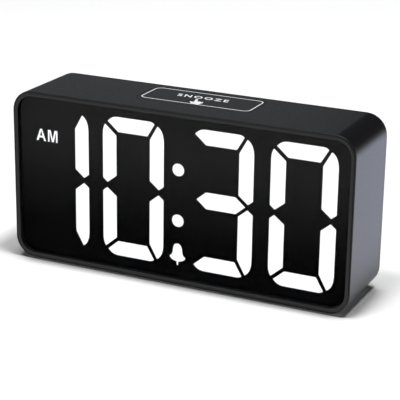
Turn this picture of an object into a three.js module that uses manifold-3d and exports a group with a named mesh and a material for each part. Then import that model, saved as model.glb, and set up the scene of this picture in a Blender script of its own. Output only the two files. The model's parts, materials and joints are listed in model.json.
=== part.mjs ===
// Mains bedside alarm clock with a large segment display.
// Millimetres, +Z up, display facing -Y. Z = 0 is the surface that the feet stand on.
import * as THREE from 'three';
import { mergeVertices } from 'three/addons/utils/BufferGeometryUtils.js';
import Module from 'manifold-3d';

const wasm = await Module();
wasm.setup();

// ---- driving dimensions ----
const WIDTH = 150;            // across the front
const DEPTH = 36.2;           // front rim to rear cover
const STAND = 0.8;            // how far the feet hold the housing off the table
const BODY_H = 72.4;          // housing height
const CORNER = 8.8;           // housing corner radius, seen from the front
const WALL = 2.05;            // housing wall, and the width of the front rim
const FILLET = 0.6;           // soft edge at the front and the back
const LEDGE_IN = 4.1;         // inner edge of the shelf that carries the lens
const GAP = 0.3;              // running or assembly gap
const GLUE = 0.1;             // gap between faces that are glued or rest on each other
const CORNER_STEPS = 4;       // fineness of the housing's round corners

const FRONT = -DEPTH / 2;
const REAR = DEPTH / 2;
const TOP = STAND + BODY_H;
const MIDDLE_Z = STAND + BODY_H / 2;

// the display stack, from the front rim backwards
const LENS_RECESS = 0.35;
const LENS_T = 1.5;
const MASK_T = 0.25;
const TAPE_T = 0.3;
const LEDGE_T = 1.2;
const PAD_T = 0.9;            // raised segment pads of a diffuser
const WEB_T = 0.7;            // thin plate that joins the pads
const REFLECTOR_T = 6.6;
const BOARD_T = 1.6;
const LENS_Y = FRONT + LENS_RECESS;
const MASK_Y = LENS_Y + LENS_T + GLUE;
const TAPE_Y = MASK_Y + MASK_T + GLUE / 2;
const LEDGE_Y = TAPE_Y + TAPE_T + GLUE / 2;
const PAD_Y = MASK_Y + MASK_T + GLUE;
const REFLECTOR_Y = PAD_Y + PAD_T + WEB_T + GLUE;
const LED_BOARD_Y = REFLECTOR_Y + REFLECTOR_T + GLUE;

// display figures
const DIGIT_W = 27.8;
const DIGIT_H = 59.45;
const DIGIT_Z = 7.72;         // lower edge of the figures
const HOURS_X = [-68.35, -34.05];  // left edge of each hour figure
const MINUTES_X = [5, 39.75];
const STROKE = 6.4;
const BAR = 7.1;
const BAR_RISE = 0.45;        // the middle bar sits this far above half height
const TIP = 1.05;             // from the middle of the bar to the nearest point of an upright
const SHOULDER = 2.8;         // and to the outer and the inner end of the taper
const TAPER = 4.4;
const COLON_X = 0.15;
const COLON_R = 2.65;
const COLON_Z = [27.45, 48.9];
const BELL_Z = 8.25;
const LEGEND_X = -60.2;
const LEGEND_W = 11.4;
const LEGEND_H = 6;
const AM_Z = 54.75;
const PM_Z = 19.4;

// rear cover and its sunk control panel
const REAR_T = 2.2;
const COVER_Y = REAR - REAR_T;
const PANEL_D = 1.6;
const PANEL_W = 116;
const PANEL_H = 13;
const PANEL_Z = 57;
const PANEL_FLOOR = REAR - PANEL_D;
const PANEL_BACK = PANEL_FLOOR - 1.8;
const CONTROL_PITCH = 13.5;
const controlX = (place) => (3.5 - place) * CONTROL_PITCH;
const SLIDER_PLACES = { alarm: 5, volume: 6 };
const WHEEL_X = controlX(7);

// moving controls
const KEY_W = 9;
const KEY_H = 5;
const KEY_FACE = REAR - GAP;
const FLANGE_T = 0.8;
const FLANGE_Y = PANEL_BACK - GAP - FLANGE_T;
const KEY_BOARD_Y = 7.4;
const SWITCH_Y = KEY_BOARD_Y + BOARD_T;
const SWITCH_D = 3.4;
const SLIDER_STROKE = 4;
const SLIDER_W = 4;
const SLIDER_H = 3.6;
const WHEEL_R = 6;
const WHEEL_T = 3;
const WHEEL_Y = KEY_FACE - WHEEL_R;

const SNOOZE_X = 0.4;
const SNOOZE_Y = 3.8;
const SNOOZE_W = 50.8;
const SNOOZE_D = 20.8;
const SNOOZE_R = 4;
const SNOOZE_BOARD_Z = 62.6;

// backup battery bay
const CELL_R = 5.25;
const CELL_L = 44.5;
const BAY_X = -8;
const BAY_Z = 27;
const BAY_W = 50;
const BAY_H = 23.4;
const BAY_Y = 3.6;            // inner floor of the tray
const TRAY_T = 1.2;
const TRAY_FRONT = 15.6;
const CELL_Y = BAY_Y + GAP + CELL_R;
const CELL_Z = [BAY_Z - 5.7, BAY_Z + 5.7];
const DOOR_W = 54;
const DOOR_H = 26;
const DOOR_T = 1.9;
const DOOR_BACK = REAR - 2;
const HINGE_Y = DOOR_BACK + DOOR_T / 2;
const HINGE_Z = BAY_Z - DOOR_H / 2 + DOOR_T / 2;
const HINGE_R = 0.5;

// boards, sockets and speaker
const MAIN_Y = -0.4;
const MAIN_REAR = MAIN_Y + BOARD_T;
const SPEAKER_X = 46;
const SPEAKER_Z = 26;
const SPEAKER_R = 14;
const SOCKET_X = -52;
const JACK_Z = 35;
const JACK_R = 3.2;
const USB_Z = 17;
const SCREW_X = WIDTH / 2 - CORNER;
const SCREW_Z = [STAND + CORNER, TOP - CORNER];
const FOOT_R = 4.5;
const FOOT_X = 60;
const FOOT_Y = 10.4;

// ---- materials ----
const look = (color, roughness, metalness = 0) =>
  new THREE.MeshStandardMaterial({ color, roughness, metalness });
const CASE = look(0x37383c, 0.45);
const CLEAR = look(0x101011, 0.08);
const FILM = look(0x050505, 0.6);
const TAPE = look(0x202020, 0.9);
const LIT = look(0xffffff, 0.5);
const WHITE = look(0xe8e8e4, 0.6);
const BOARD = look(0x1f5a34, 0.55);
const KEYS = look(0x2c2d30, 0.5);
const BLACK = look(0x151516, 0.5);
const METAL = look(0xb9bcc0, 0.3, 1);
const RUBBER = look(0x1b1b1b, 0.9);
const PAPER = look(0x26241f, 0.85);
const CELL = look(0x8a8f94, 0.35, 0.6);

const clock = new THREE.Group();

// ---- helpers ----
function solid(geometry) {
  const plain = geometry.clone();
  plain.deleteAttribute('normal');
  plain.deleteAttribute('uv');
  const merged = mergeVertices(plain, 1e-4);
  return new wasm.Manifold(new wasm.Mesh({
    numProp: 3,
    vertProperties: new Float32Array(merged.attributes.position.array),
    triVerts: new Uint32Array(merged.index.array),
  }));
}

function add(name, body, material) {
  const { vertProperties, triVerts } = body.getMesh();
  const geometry = new THREE.BufferGeometry();
  geometry.setAttribute('position', new THREE.BufferAttribute(vertProperties, 3));
  geometry.setIndex(new THREE.BufferAttribute(triVerts, 1));
  geometry.computeVertexNormals();
  const mesh = new THREE.Mesh(geometry, material);
  mesh.name = name;
  clock.add(mesh);
}

const join = (bodies) => bodies.reduce((sum, body) => sum.add(body));
const cut = (body, tools) => tools.reduce((rest, tool) => rest.subtract(tool), body);

// box from its ends along X, Y and Z
function box(x0, x1, y0, y1, z0, z1) {
  const geometry = new THREE.BoxGeometry(x1 - x0, y1 - y0, z1 - z0);
  return solid(geometry.translate((x0 + x1) / 2, (y0 + y1) / 2, (z0 + z1) / 2));
}

// box by its middle in X and Z, and its ends along Y
const block = (x, z, w, h, y0, y1) => box(x - w / 2, x + w / 2, y0, y1, z - h / 2, z + h / 2);

function rodY(x, z, r, y0, y1, sides = 24, farR = r) {
  const geometry = new THREE.CylinderGeometry(farR, r, y1 - y0, sides);
  return solid(geometry.translate(x, (y0 + y1) / 2, z));
}

function rodZ(x, y, r, z0, z1, sides = 24) {
  const geometry = new THREE.CylinderGeometry(r, r, z1 - z0, sides).rotateX(Math.PI / 2);
  return solid(geometry.translate(x, y, (z0 + z1) / 2));
}

function rodX(y, z, r, x0, x1, sides = 20) {
  const geometry = new THREE.CylinderGeometry(r, r, x1 - x0, sides).rotateZ(Math.PI / 2);
  return solid(geometry.translate((x0 + x1) / 2, y, z));
}

// rectangle with round corners, about the middle of its plane
function roundedRect(w, h, r) {
  const [x, y] = [w / 2 - r, h / 2 - r];
  const shape = new THREE.Shape();
  shape.absarc(x, -y, r, -Math.PI / 2, 0, false);
  shape.absarc(x, y, r, 0, Math.PI / 2, false);
  shape.absarc(-x, y, r, Math.PI / 2, Math.PI, false);
  shape.absarc(-x, -y, r, Math.PI, Math.PI * 1.5, false);
  return shape;
}

// plate of an upright outline, between two depths
function plateY(shape, y0, y1, x = 0, z = 0, curveSegments = 2) {
  const options = { depth: y1 - y0, bevelEnabled: false, curveSegments };
  const geometry = new THREE.ExtrudeGeometry(shape, options);
  return solid(geometry.rotateX(Math.PI / 2).translate(x, y1, z));
}

// plate of a level outline, between two heights
function plateZ(shape, z0, z1, x = 0, y = 0, curveSegments = 2) {
  const options = { depth: z1 - z0, bevelEnabled: false, curveSegments };
  const geometry = new THREE.ExtrudeGeometry(shape, options);
  return solid(geometry.translate(x, y, z0));
}

const bodyOutline = (inset) =>
  roundedRect(WIDTH - 2 * inset, BODY_H - 2 * inset, Math.max(CORNER - inset, 1));

// the housing outline pulled in by an inset, between two depths
const bodyPlate = (inset, y0, y1) => plateY(bodyOutline(inset), y0, y1, 0, MIDDLE_Z, CORNER_STEPS);

// the housing outline from y0 to y1 with a rounded edge at one end
function softPlate(y0, y1, softEnd) {
  const steps = [0, 1, 2, 3].map((i) => {
    const turn = (i / 3) * (Math.PI / 2);
    return { inset: FILLET * (1 - Math.cos(turn)), out: FILLET * Math.sin(turn) };
  });
  const sections = softEnd === 'front'
    ? [...steps.reverse().map(({ inset, out }) => [inset, y0 + FILLET - out]), [0, y1]]
    : [[0, y0], ...steps.map(({ inset, out }) => [inset, y1 - FILLET + out])];
  return loft(sections);
}

// closed skin over housing outlines, each an inset and a depth, in order of depth
function loft(sections) {
  const rings = sections.map(([inset, y]) =>
    ({ y, points: bodyOutline(inset).getPoints(CORNER_STEPS) }));
  const count = rings[0].points.length;
  const position = [];
  const index = [];
  for (const { y, points } of rings) {
    for (const point of points) position.push(point.x, y, point.y + MIDDLE_Z);
  }
  for (let s = 0; s < rings.length - 1; s++) {
    for (let i = 0; i < count; i++) {
      const a = s * count + i;
      const b = s * count + ((i + 1) % count);
      index.push(a, a + count, b, b, a + count, b + count);
    }
  }
  const last = (rings.length - 1) * count;
  for (let i = 1; i < count - 1; i++) {
    index.push(0, i, i + 1, last, last + i + 1, last + i);
  }
  const geometry = new THREE.BufferGeometry();
  geometry.setAttribute('position', new THREE.BufferAttribute(new Float32Array(position), 3));
  geometry.setIndex(index);
  return solid(geometry);
}

// shape from corner points; a point with two more numbers is reached by a curve with that control
function outline(points, x, z) {
  const shape = new THREE.Shape();
  points.forEach(([px, pz, cx, cz], i) => {
    if (i === 0) shape.moveTo(x + px, z + pz);
    else if (cx === undefined) shape.lineTo(x + px, z + pz);
    else shape.quadraticCurveTo(x + cx, z + cz, x + px, z + pz);
  });
  return shape;
}

// ---- display figures ----
// Segments of one figure, measured from its lower left corner. Each half is drawn outwards from
// the middle of the bar, and reaches a little less far above it than below it.
function figureSegments() {
  const middle = DIGIT_H / 2 + BAR_RISE;
  const upper = figureHalf(middle, DIGIT_H - middle, 1);
  const lower = figureHalf(middle, middle, -1);
  const [flat, end] = [7.5, 3.3];
  const bar = [[end, middle], [flat, middle + BAR / 2], [DIGIT_W - flat, middle + BAR / 2],
    [DIGIT_W - end, middle], [DIGIT_W - flat, middle - BAR / 2], [flat, middle - BAR / 2]];
  return {
    top: upper.cap, left: upper.left, right: upper.right, bar,
    foot: lower.cap, leftLow: lower.left, rightLow: lower.right,
  };
}

function figureHalf(middle, reach, direction) {
  const inner = DIGIT_W - STROKE;
  const under = reach - STROKE;
  const place = (points) => points.map(([x, out, cx, cout]) =>
    [x, middle + direction * out, ...(cx === undefined ? [] : [cx, middle + direction * cout])]);
  return {
    cap: place([[2.3, reach - 2.3], [6.8, reach, 4.2, reach], [DIGIT_W - 6.4, reach],
      [DIGIT_W - 4.2, reach - 1, DIGIT_W - 4.9, reach - 0.1], [inner - 1, under],
      [STROKE + 0.7, under]]),
    left: place([[1.2, reach - 3.45], [STROKE, under - 1.45], [STROKE, TAPER], [2.1, TIP],
      [0, SHOULDER], [0, reach - 8], [1.2, reach - 3.45, 0, reach - 5]]),
    right: place([[DIGIT_W - 3, reach - 1.55], [DIGIT_W, reach - 7.8, DIGIT_W - 0.2, reach - 2.9],
      [DIGIT_W, SHOULDER], [DIGIT_W - 2.3, TIP], [inner, TAPER], [inner, under - 1.25]]),
  };
}

const FIGURES = [
  { name: 'hour_tens', x: HOURS_X[0], segments: ['right', 'rightLow'] },
  { name: 'hour_units', x: HOURS_X[1] },
  { name: 'minute_tens', x: MINUTES_X[0] },
  { name: 'minute_units', x: MINUTES_X[1] },
];

function figureShapes({ x, segments }) {
  const all = figureSegments();
  return (segments ?? Object.keys(all)).map((key) => outline(all[key], x, DIGIT_Z));
}

function bellShape() {
  const dome = [[0.45, 9.4], [2.05, 7.2, 1.75, 9.1], [2.4, 4.9, 2.2, 5.9]];
  const lip = [[3.65, 3.7, 2.75, 4.2], [0.45, 1.65, 3.1, 1.95]];
  const clapper = [[0.4, 0.3], [0.2, 0.05]];
  const right = [...dome, ...lip, ...clapper];
  const controls = right.map(([, , cx, cz]) => [cx, cz]);
  const left = right.map(([x, z]) => [-x, z]).reverse();
  const leftCurved = left.map(([x, z], i) => {
    const [cx, cz] = controls[right.length - i] ?? [];
    return cx === undefined ? [x, z] : [x, z, -cx, cz];
  });
  return outline([...right, ...leftCurved], COLON_X, BELL_Z);
}

function centreShapes() {
  const circle = (z) => new THREE.Shape().absarc(COLON_X, z, COLON_R, 0, Math.PI * 2, false);
  return [...COLON_Z.map(circle), bellShape()];
}

function legendShapes() {
  const [w, h] = [LEGEND_W / 2, LEGEND_H / 2];
  return [AM_Z, PM_Z].map((z) => outline([[-w, -h], [w, -h], [w, h], [-w, h]], LEGEND_X, z));
}

const windowShapes = () => [...FIGURES.flatMap(figureShapes), ...centreShapes(), ...legendShapes()];
const windowBodies = (y0, y1) => windowShapes().map((shape) => plateY(shape, y0, y1, 0, 0, 3));

// ---- housing and lens ----
function housingShell() {
  const outside = softPlate(FRONT, COVER_Y - GLUE, 'front');
  const hollow = [
    bodyPlate(WALL, FRONT - 1, LEDGE_Y),
    bodyPlate(LEDGE_IN, LEDGE_Y - 1, LEDGE_Y + LEDGE_T + 1),
    bodyPlate(WALL, LEDGE_Y + LEDGE_T, COVER_Y + 1),
    plateZ(roundedRect(SNOOZE_W + 2 * GAP, SNOOZE_D + 2 * GAP, SNOOZE_R + GAP),
      TOP - WALL - 1, TOP + 1, SNOOZE_X, SNOOZE_Y, 3),
  ];
  const footSeats = feet().map(([x, y]) => rodZ(x, y, FOOT_R + GAP, 0, STAND + 0.7, 20));
  const screwPosts = screws().map(([x, z]) => screwPost(x, z));
  const boardPosts = [-1, 1].map((side) => {
    const x = SNOOZE_X + side * 29;
    return rodZ(x, SNOOZE_Y, 1.8, SNOOZE_BOARD_Z + BOARD_T + GLUE, TOP - WALL + 0.5, 16);
  });
  const screwHoles = screws().map(([x, z]) => rodY(x, z, 1.7, 2, COVER_Y, 12));
  const body = join([cut(outside, hollow), ...screwPosts, ...boardPosts]);
  add('housing_shell', cut(body, [...footSeats, ...screwHoles]), CASE);
}

// post for a rear screw, tied to the side wall by a rib
function screwPost(x, z) {
  const end = COVER_Y - 3.2;
  const side = Math.sign(x);
  const wall = side * (WIDTH / 2 - WALL / 2);
  const rib = box(Math.min(x, wall), Math.max(x, wall), -2, end, z - 1, z + 1);
  return rodY(x, z, 3.1, -2, end, 16).add(rib);
}

const feet = () => [-1, 1].flatMap((x) => [-1, 1].map((y) => [x * FOOT_X, y * FOOT_Y]));
const screws = () => [-1, 1].flatMap((side) => SCREW_Z.map((z) => [side * SCREW_X, z]));

function lensStack() {
  const edge = WALL + GAP;
  add('front_lens', bodyPlate(edge, LENS_Y, LENS_Y + LENS_T), CLEAR);
  const mask = bodyPlate(edge, MASK_Y, MASK_Y + MASK_T);
  add('display_mask', cut(mask, windowBodies(MASK_Y - 1, MASK_Y + MASK_T + 1)), FILM);
  const tape = bodyPlate(edge + GLUE, TAPE_Y, TAPE_Y + TAPE_T);
  add('lens_tape', tape.subtract(bodyPlate(LEDGE_IN, TAPE_Y - 1, TAPE_Y + 1)), TAPE);
}

// a diffuser is a thin plate whose raised pads fill the windows of the mask from behind
function diffuser(name, shapes, web) {
  const pads = shapes.map((shape) => plateY(shape, PAD_Y, PAD_Y + PAD_T + WEB_T / 2, 0, 0, 3));
  const [x0, x1, z0, z1] = web;
  const plate = box(x0, x1, PAD_Y + PAD_T, PAD_Y + PAD_T + WEB_T, z0, z1);
  add(name, join([plate, ...pads]), LIT);
}

function diffusers() {
  const margin = 0.4;
  const [low, high] = [DIGIT_Z - margin, DIGIT_Z + DIGIT_H + margin];
  for (const figure of FIGURES) {
    const left = figure.segments ? figure.x + DIGIT_W - STROKE - 1 : figure.x - margin;
    const web = [left, figure.x + DIGIT_W + margin, low, high];
    diffuser(`${figure.name}_diffuser`, figureShapes(figure), web);
  }
  diffuser('colon_bell_diffuser', centreShapes(), [COLON_X - 4.2, COLON_X + 3.8, low, high]);
  const legendWeb = [LEGEND_X - 6.5, LEGEND_X + 6.5, PM_Z - 4, AM_Z + 4];
  diffuser('am_pm_diffuser', legendShapes(), legendWeb);
}

function ledModule() {
  const inset = LEDGE_IN + 1.1;
  const reflectorEnd = REFLECTOR_Y + REFLECTOR_T;
  const reflector = bodyPlate(inset, REFLECTOR_Y, reflectorEnd);
  add('display_reflector', cut(reflector, windowBodies(REFLECTOR_Y - 1, reflectorEnd + 1)), WHITE);
  const board = bodyPlate(inset, LED_BOARD_Y, LED_BOARD_Y + BOARD_T);
  const chips = windowShapes().map((shape) => {
    const points = shape.getPoints(2);
    const x = points.reduce((sum, p) => sum + p.x, 0) / points.length;
    const z = points.reduce((sum, p) => sum + p.y, 0) / points.length;
    return block(x, z, 2.2, 2, LED_BOARD_Y - 0.8, LED_BOARD_Y + 0.5);
  });
  add('led_board', join([board, ...chips]), BOARD);
}

// ---- rear cover and controls ----
function rearCover() {
  const keyRoom = SNOOZE_W / 2 + 3;
  const lip = cut(bodyPlate(WALL + GAP, COVER_Y - 3, COVER_Y + 0.5), [
    bodyPlate(LEDGE_IN, COVER_Y - 4, COVER_Y + 1),
    box(SNOOZE_X - keyRoom, SNOOZE_X + keyRoom, COVER_Y - 4, COVER_Y, TOP - 8, TOP),
  ]);
  const plate = softPlate(COVER_Y, REAR, 'rear');
  const panelBack = block(0, PANEL_Z, PANEL_W + 3, PANEL_H + 3, PANEL_BACK, COVER_Y + 0.5);
  const screwSeats = screws().map(([x, z]) => rodY(x, z, 3.3, COVER_Y - 2.8, COVER_Y + 0.5, 16));
  const panel = plateY(roundedRect(PANEL_W, PANEL_H, 2), PANEL_FLOOR, REAR + 1, 0, PANEL_Z);
  const keyHoles = KEY_NAMES.map((_, i) =>
    block(controlX(i), PANEL_Z, KEY_W + 2 * GAP, KEY_H + 2 * GAP, PANEL_BACK - 1, REAR));
  const slotW = SLIDER_W + SLIDER_STROKE + 2 * GAP;
  const sliderSlots = Object.values(SLIDER_PLACES).map((place) =>
    block(controlX(place), PANEL_Z, slotW, SLIDER_H + 2 * GAP, PANEL_BACK - 1, REAR));
  const wheelSlot = block(WHEEL_X, PANEL_Z, 2 * WHEEL_R, WHEEL_T + 4 * GAP, PANEL_BACK - 1, REAR);
  const doorway = block(BAY_X, BAY_Z, DOOR_W + 2 * GAP, DOOR_H + 2 * GAP, COVER_Y - 1, REAR + 1);
  const hingeReach = DOOR_W / 2 + 1.6;
  const hingeHoles = rodX(HINGE_Y, HINGE_Z, HINGE_R + GAP, BAY_X - hingeReach, BAY_X + hingeReach, 12);
  const sockets = [
    rodY(SOCKET_X, JACK_Z, JACK_R + 0.6, COVER_Y - 1, REAR + 1),
    block(SOCKET_X, USB_Z, 14, 6.6, COVER_Y - 1, REAR + 1),
  ];
  const screwHoles = screws().flatMap(([x, z]) => [
    rodY(x, z, 1.7, COVER_Y - 4, REAR, 12),
    rodY(x, z, 3, REAR - 1.7, REAR + 1, 16),
  ]);
  const body = join([plate, lip, panelBack, ...screwSeats]);
  const openings = [panel, ...keyHoles, ...sliderSlots, wheelSlot, doorway, hingeHoles, ...sockets];
  add('rear_cover', cut(body, [...openings, ...screwHoles, ...grilleSlots()]), CASE);
}

// level speaker slots whose ends follow a circle
function grilleSlots() {
  const pitch = 3.4;
  const slot = 1.4;
  return [-3, -2, -1, 0, 1, 2, 3].map((row) => {
    const length = 2 * Math.sqrt((SPEAKER_R - 1.5) ** 2 - (row * pitch) ** 2);
    const shape = roundedRect(length, slot, slot / 2 - 0.01);
    return plateY(shape, COVER_Y - 1, REAR + 1, SPEAKER_X, SPEAKER_Z + row * pitch, 1);
  });
}

const KEY_NAMES = ['time', 'alarm', 'hour', 'minute', 'daylight'];

// a set key with its flange behind the panel, and the push switch stem that it presses
function setKeys() {
  KEY_NAMES.forEach((name, i) => {
    const x = controlX(i);
    const cap = plateY(roundedRect(KEY_W, KEY_H, 1.2), FLANGE_Y, KEY_FACE, x, PANEL_Z);
    const flange = block(x, PANEL_Z, KEY_W + 2, KEY_H + 2, FLANGE_Y, FLANGE_Y + FLANGE_T);
    add(`${name}_key`, cap.add(flange), KEYS);
    add(`${name}_key_stem`, rodY(x, PANEL_Z, 1.7, SWITCH_Y + 1.5, FLANGE_Y - GLUE, 16), WHITE);
  });
}

function keyBoard() {
  const left = WHEEL_X + WHEEL_R + 1.5;
  const board = box(left, controlX(0) + 8, KEY_BOARD_Y, SWITCH_Y, PANEL_Z - 6, PANEL_Z + 5);
  const switches = KEY_NAMES.map((_, i) => {
    const housing = block(controlX(i), PANEL_Z, 6, 6, SWITCH_Y - 0.2, SWITCH_Y + SWITCH_D);
    return housing.subtract(rodY(controlX(i), PANEL_Z, 2, SWITCH_Y + 0.6, SWITCH_Y + SWITCH_D + 1, 16));
  });
  add('key_board', join([board, ...switches]), BOARD);
}

// a slider rests at the +X end of its slot and moves towards -X
function sliders() {
  for (const [name, place] of Object.entries(SLIDER_PLACES)) {
    const x = controlX(place) + SLIDER_STROKE / 2;
    const knob = block(x, PANEL_Z, SLIDER_W, SLIDER_H, FLANGE_Y, KEY_FACE);
    const ribs = [-1, 0, 1].map((rib) =>
      block(x + rib * 1.2, PANEL_Z, 0.5, SLIDER_H + 1, KEY_FACE - 0.4, KEY_FACE + 1));
    const plate = block(x, PANEL_Z, SLIDER_W + 1.6, SLIDER_H + 2, FLANGE_Y, FLANGE_Y + FLANGE_T);
    const stem = block(x, PANEL_Z, 2, 1.8, SWITCH_Y + 1.6, FLANGE_Y + 0.2);
    add(`${name}_slider`, join([cut(knob, ribs), plate, stem]), KEYS);
    const housing = block(controlX(place), PANEL_Z, 11, 5.4, SWITCH_Y + GLUE, SWITCH_Y + SWITCH_D);
    const slot = block(controlX(place), PANEL_Z, SLIDER_STROKE + 2 + 2 * GAP, 1.8 + 2 * GAP,
      SWITCH_Y + 1.2, SWITCH_Y + SWITCH_D + 1);
    add(`${name}_slide_switch`, housing.subtract(slot), METAL);
  }
}

function dimmer() {
  const teeth = 24;
  const rim = [...Array(teeth * 2).keys()].map((i) => {
    const r = i % 2 ? WHEEL_R : WHEEL_R - 0.4;
    const turn = (i / teeth) * Math.PI;
    return [r * Math.cos(turn), r * Math.sin(turn)];
  });
  const low = PANEL_Z - WHEEL_T / 2;
  const wheel = plateZ(outline(rim, 0, 0), low, low + WHEEL_T, WHEEL_X, WHEEL_Y);
  const shaft = rodZ(WHEEL_X, WHEEL_Y, 1.2, low - 4.4, low + WHEEL_T + 1, 16);
  add('dimmer_wheel', wheel.add(shaft), KEYS);
  const pot = box(WHEEL_X - 4.5, WHEEL_X + 4.5, WHEEL_Y - 5.5, WHEEL_Y + 2.3, low - 5, low - 1);
  add('dimmer_pot', pot.subtract(rodZ(WHEEL_X, WHEEL_Y, 1.2 + GAP, low - 4.7, low, 16)), BLACK);
}

function snooze() {
  const under = TOP - WALL;
  const flangeTop = under - GAP;
  const face = roundedRect(SNOOZE_W, SNOOZE_D, SNOOZE_R);
  const cap = plateZ(face, flangeTop - 1, TOP, SNOOZE_X, SNOOZE_Y, 3);
  const flange = plateZ(roundedRect(SNOOZE_W + 2, SNOOZE_D + 1.6, SNOOZE_R), flangeTop - 1, flangeTop,
    SNOOZE_X, SNOOZE_Y);
  const post = rodZ(SNOOZE_X, SNOOZE_Y, 2.4, flangeTop - 1.4, flangeTop - 0.5, 16);
  add('snooze_key', join([cap, flange, post]), CASE);

  const boardTop = SNOOZE_BOARD_Z + BOARD_T;
  const board = box(SNOOZE_X - 32, SNOOZE_X + 32, SNOOZE_Y - 6, SNOOZE_Y + 5, SNOOZE_BOARD_Z, boardTop);
  add('snooze_board', board, BOARD);
  const half = 3;
  const housing = box(SNOOZE_X - half, SNOOZE_X + half, SNOOZE_Y - half, SNOOZE_Y + half,
    boardTop + GLUE, boardTop + 3.6);
  const well = rodZ(SNOOZE_X, SNOOZE_Y, 2, boardTop + 0.8, boardTop + 4, 16);
  add('snooze_switch', housing.subtract(well), BLACK);
  const stem = rodZ(SNOOZE_X, SNOOZE_Y, 1.7, boardTop + 2.2, flangeTop - 1.5, 16);
  add('snooze_stem', stem, WHITE);
}

// ---- boards, sockets and speaker ----
function mainBoard() {
  const board = box(-60, 60, MAIN_Y, MAIN_REAR, 8, 47);
  const rear = MAIN_REAR - 0.2;
  const parts = [
    block(30, 43, 10, 6, rear, MAIN_REAR + 1.4),
    block(-30, 43, 12, 5, rear, MAIN_REAR + 2),
    block(-4, 10.5, 16, 3.4, rear, MAIN_REAR + 1.8),
    rodY(26, 17, 3, rear, MAIN_REAR + 7, 16),
    rodY(26, 26, 3, rear, MAIN_REAR + 7, 16),
  ];
  add('main_board', join([board, ...parts]), BOARD);
  const bar = block(0, 30, 30, 2.5, LED_BOARD_Y + BOARD_T + GLUE, MAIN_Y - GLUE);
  const windows = [-10, 0, 10].map((x) => block(x, 30, 7, 1.2, LED_BOARD_Y, MAIN_Y));
  add('board_header', cut(bar, windows), BLACK);
}

function sockets() {
  const back = MAIN_REAR + GLUE;
  const front = COVER_Y - GAP;
  const bore = rodY(SOCKET_X, JACK_Z, JACK_R, back + 4.5, front + 1);
  add('dc_jack', block(SOCKET_X, JACK_Z, 9.4, 11, back, front).subtract(bore), BLACK);
  const pin = rodY(SOCKET_X, JACK_Z, 1, back + 4.6, front - 1.2, 16);
  add('dc_jack_pin', pin, METAL);
  const shell = block(SOCKET_X, USB_Z, 13.2, 5.8, back, front);
  const mouth = block(SOCKET_X, USB_Z, 12.5, 5.1, back + 3, front + 1);
  add('usb_port', shell.subtract(mouth), METAL);
  const tongue = block(SOCKET_X, USB_Z + 0.9, 11.1, 1.8, back + 3.1, front - 1.6);
  add('usb_tongue', tongue, WHITE);
}

function speaker() {
  const rim = COVER_Y - GAP;
  const at = [SPEAKER_X, SPEAKER_Z];
  const basket = rodY(...at, SPEAKER_R, rim - 1.6, rim)
    .add(rodY(...at, 7.4, rim - 5.4, rim - 1, 24, SPEAKER_R - 1));
  const inside = [
    rodY(...at, 5.6, rim - 4.6, rim - 1.2, 24, SPEAKER_R - 2.6),
    rodY(...at, SPEAKER_R - 1.6, rim - 1.3, rim + 1),
    rodY(...at, 3.4, rim - 6, rim - 4, 16),
  ];
  add('speaker_basket', cut(basket, inside), METAL);
  const cone = rodY(...at, 4, rim - 3.6, rim - 0.9, 24, SPEAKER_R - 3.4)
    .add(rodY(...at, SPEAKER_R - 2.2, rim - 0.9, rim - 0.4));
  const dish = rodY(...at, 3, rim - 3, rim, 24, SPEAKER_R - 3.2);
  add('speaker_cone', cone.subtract(dish), PAPER);
  add('speaker_magnet', rodY(...at, 7, rim - 9, rim - 5.4 - GLUE), METAL);
  const route = new THREE.CatmullRomCurve3([
    new THREE.Vector3(SPEAKER_X - 9.5, rim - 5.2, SPEAKER_Z + 4),
    new THREE.Vector3(SPEAKER_X - 11, rim - 7, SPEAKER_Z + 8),
    new THREE.Vector3(SPEAKER_X - 8, rim - 10, SPEAKER_Z + 12),
    new THREE.Vector3(SPEAKER_X - 3, rim - 11.5, SPEAKER_Z + 13),
    new THREE.Vector3(SPEAKER_X, MAIN_REAR + 2, SPEAKER_Z + 13),
    new THREE.Vector3(SPEAKER_X, MAIN_REAR + GAP, SPEAKER_Z + 13),
  ]);
  const section = new THREE.Shape().absarc(0, 0, 0.7, 0, Math.PI * 2, false);
  const options = { steps: 14, bevelEnabled: false, extrudePath: route, curveSegments: 4 };
  add('speaker_lead', solid(new THREE.ExtrudeGeometry(section, options)), BLACK);
}

// ---- backup battery ----
function batteryBay() {
  const tray = block(BAY_X, BAY_Z, BAY_W + 2 * TRAY_T, BAY_H + 2 * TRAY_T, BAY_Y - TRAY_T, TRAY_FRONT);
  add('battery_tray', tray.subtract(block(BAY_X, BAY_Z, BAY_W, BAY_H, BAY_Y, TRAY_FRONT + 1)), BLACK);

  const west = BAY_X - BAY_W / 2;
  const east = BAY_X + BAY_W / 2;
  const plateT = 0.5;
  const springL = 3.6;
  const contact = (x0, z, h) => box(x0, x0 + plateT, CELL_Y - 4, CELL_Y + 4, z - h / 2, z + h / 2);
  const westPlate = west + GLUE;
  const eastPlate = east - GLUE - plateT;
  const [low, high] = CELL_Z;
  const westSpring = spring(westPlate + plateT, low, springL, 1);
  add('negative_contact', contact(westPlate, low, 8).add(westSpring), METAL);
  add('positive_contact', contact(westPlate, high, 8), METAL);
  add('bridge_contact', contact(eastPlate, BAY_Z, 21).add(spring(eastPlate, high, springL, -1)), METAL);

  cell('battery_cell_1', low, westPlate + plateT + springL + GLUE, 1);
  cell('battery_cell_2', high, eastPlate - springL - GLUE, -1);
}

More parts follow.
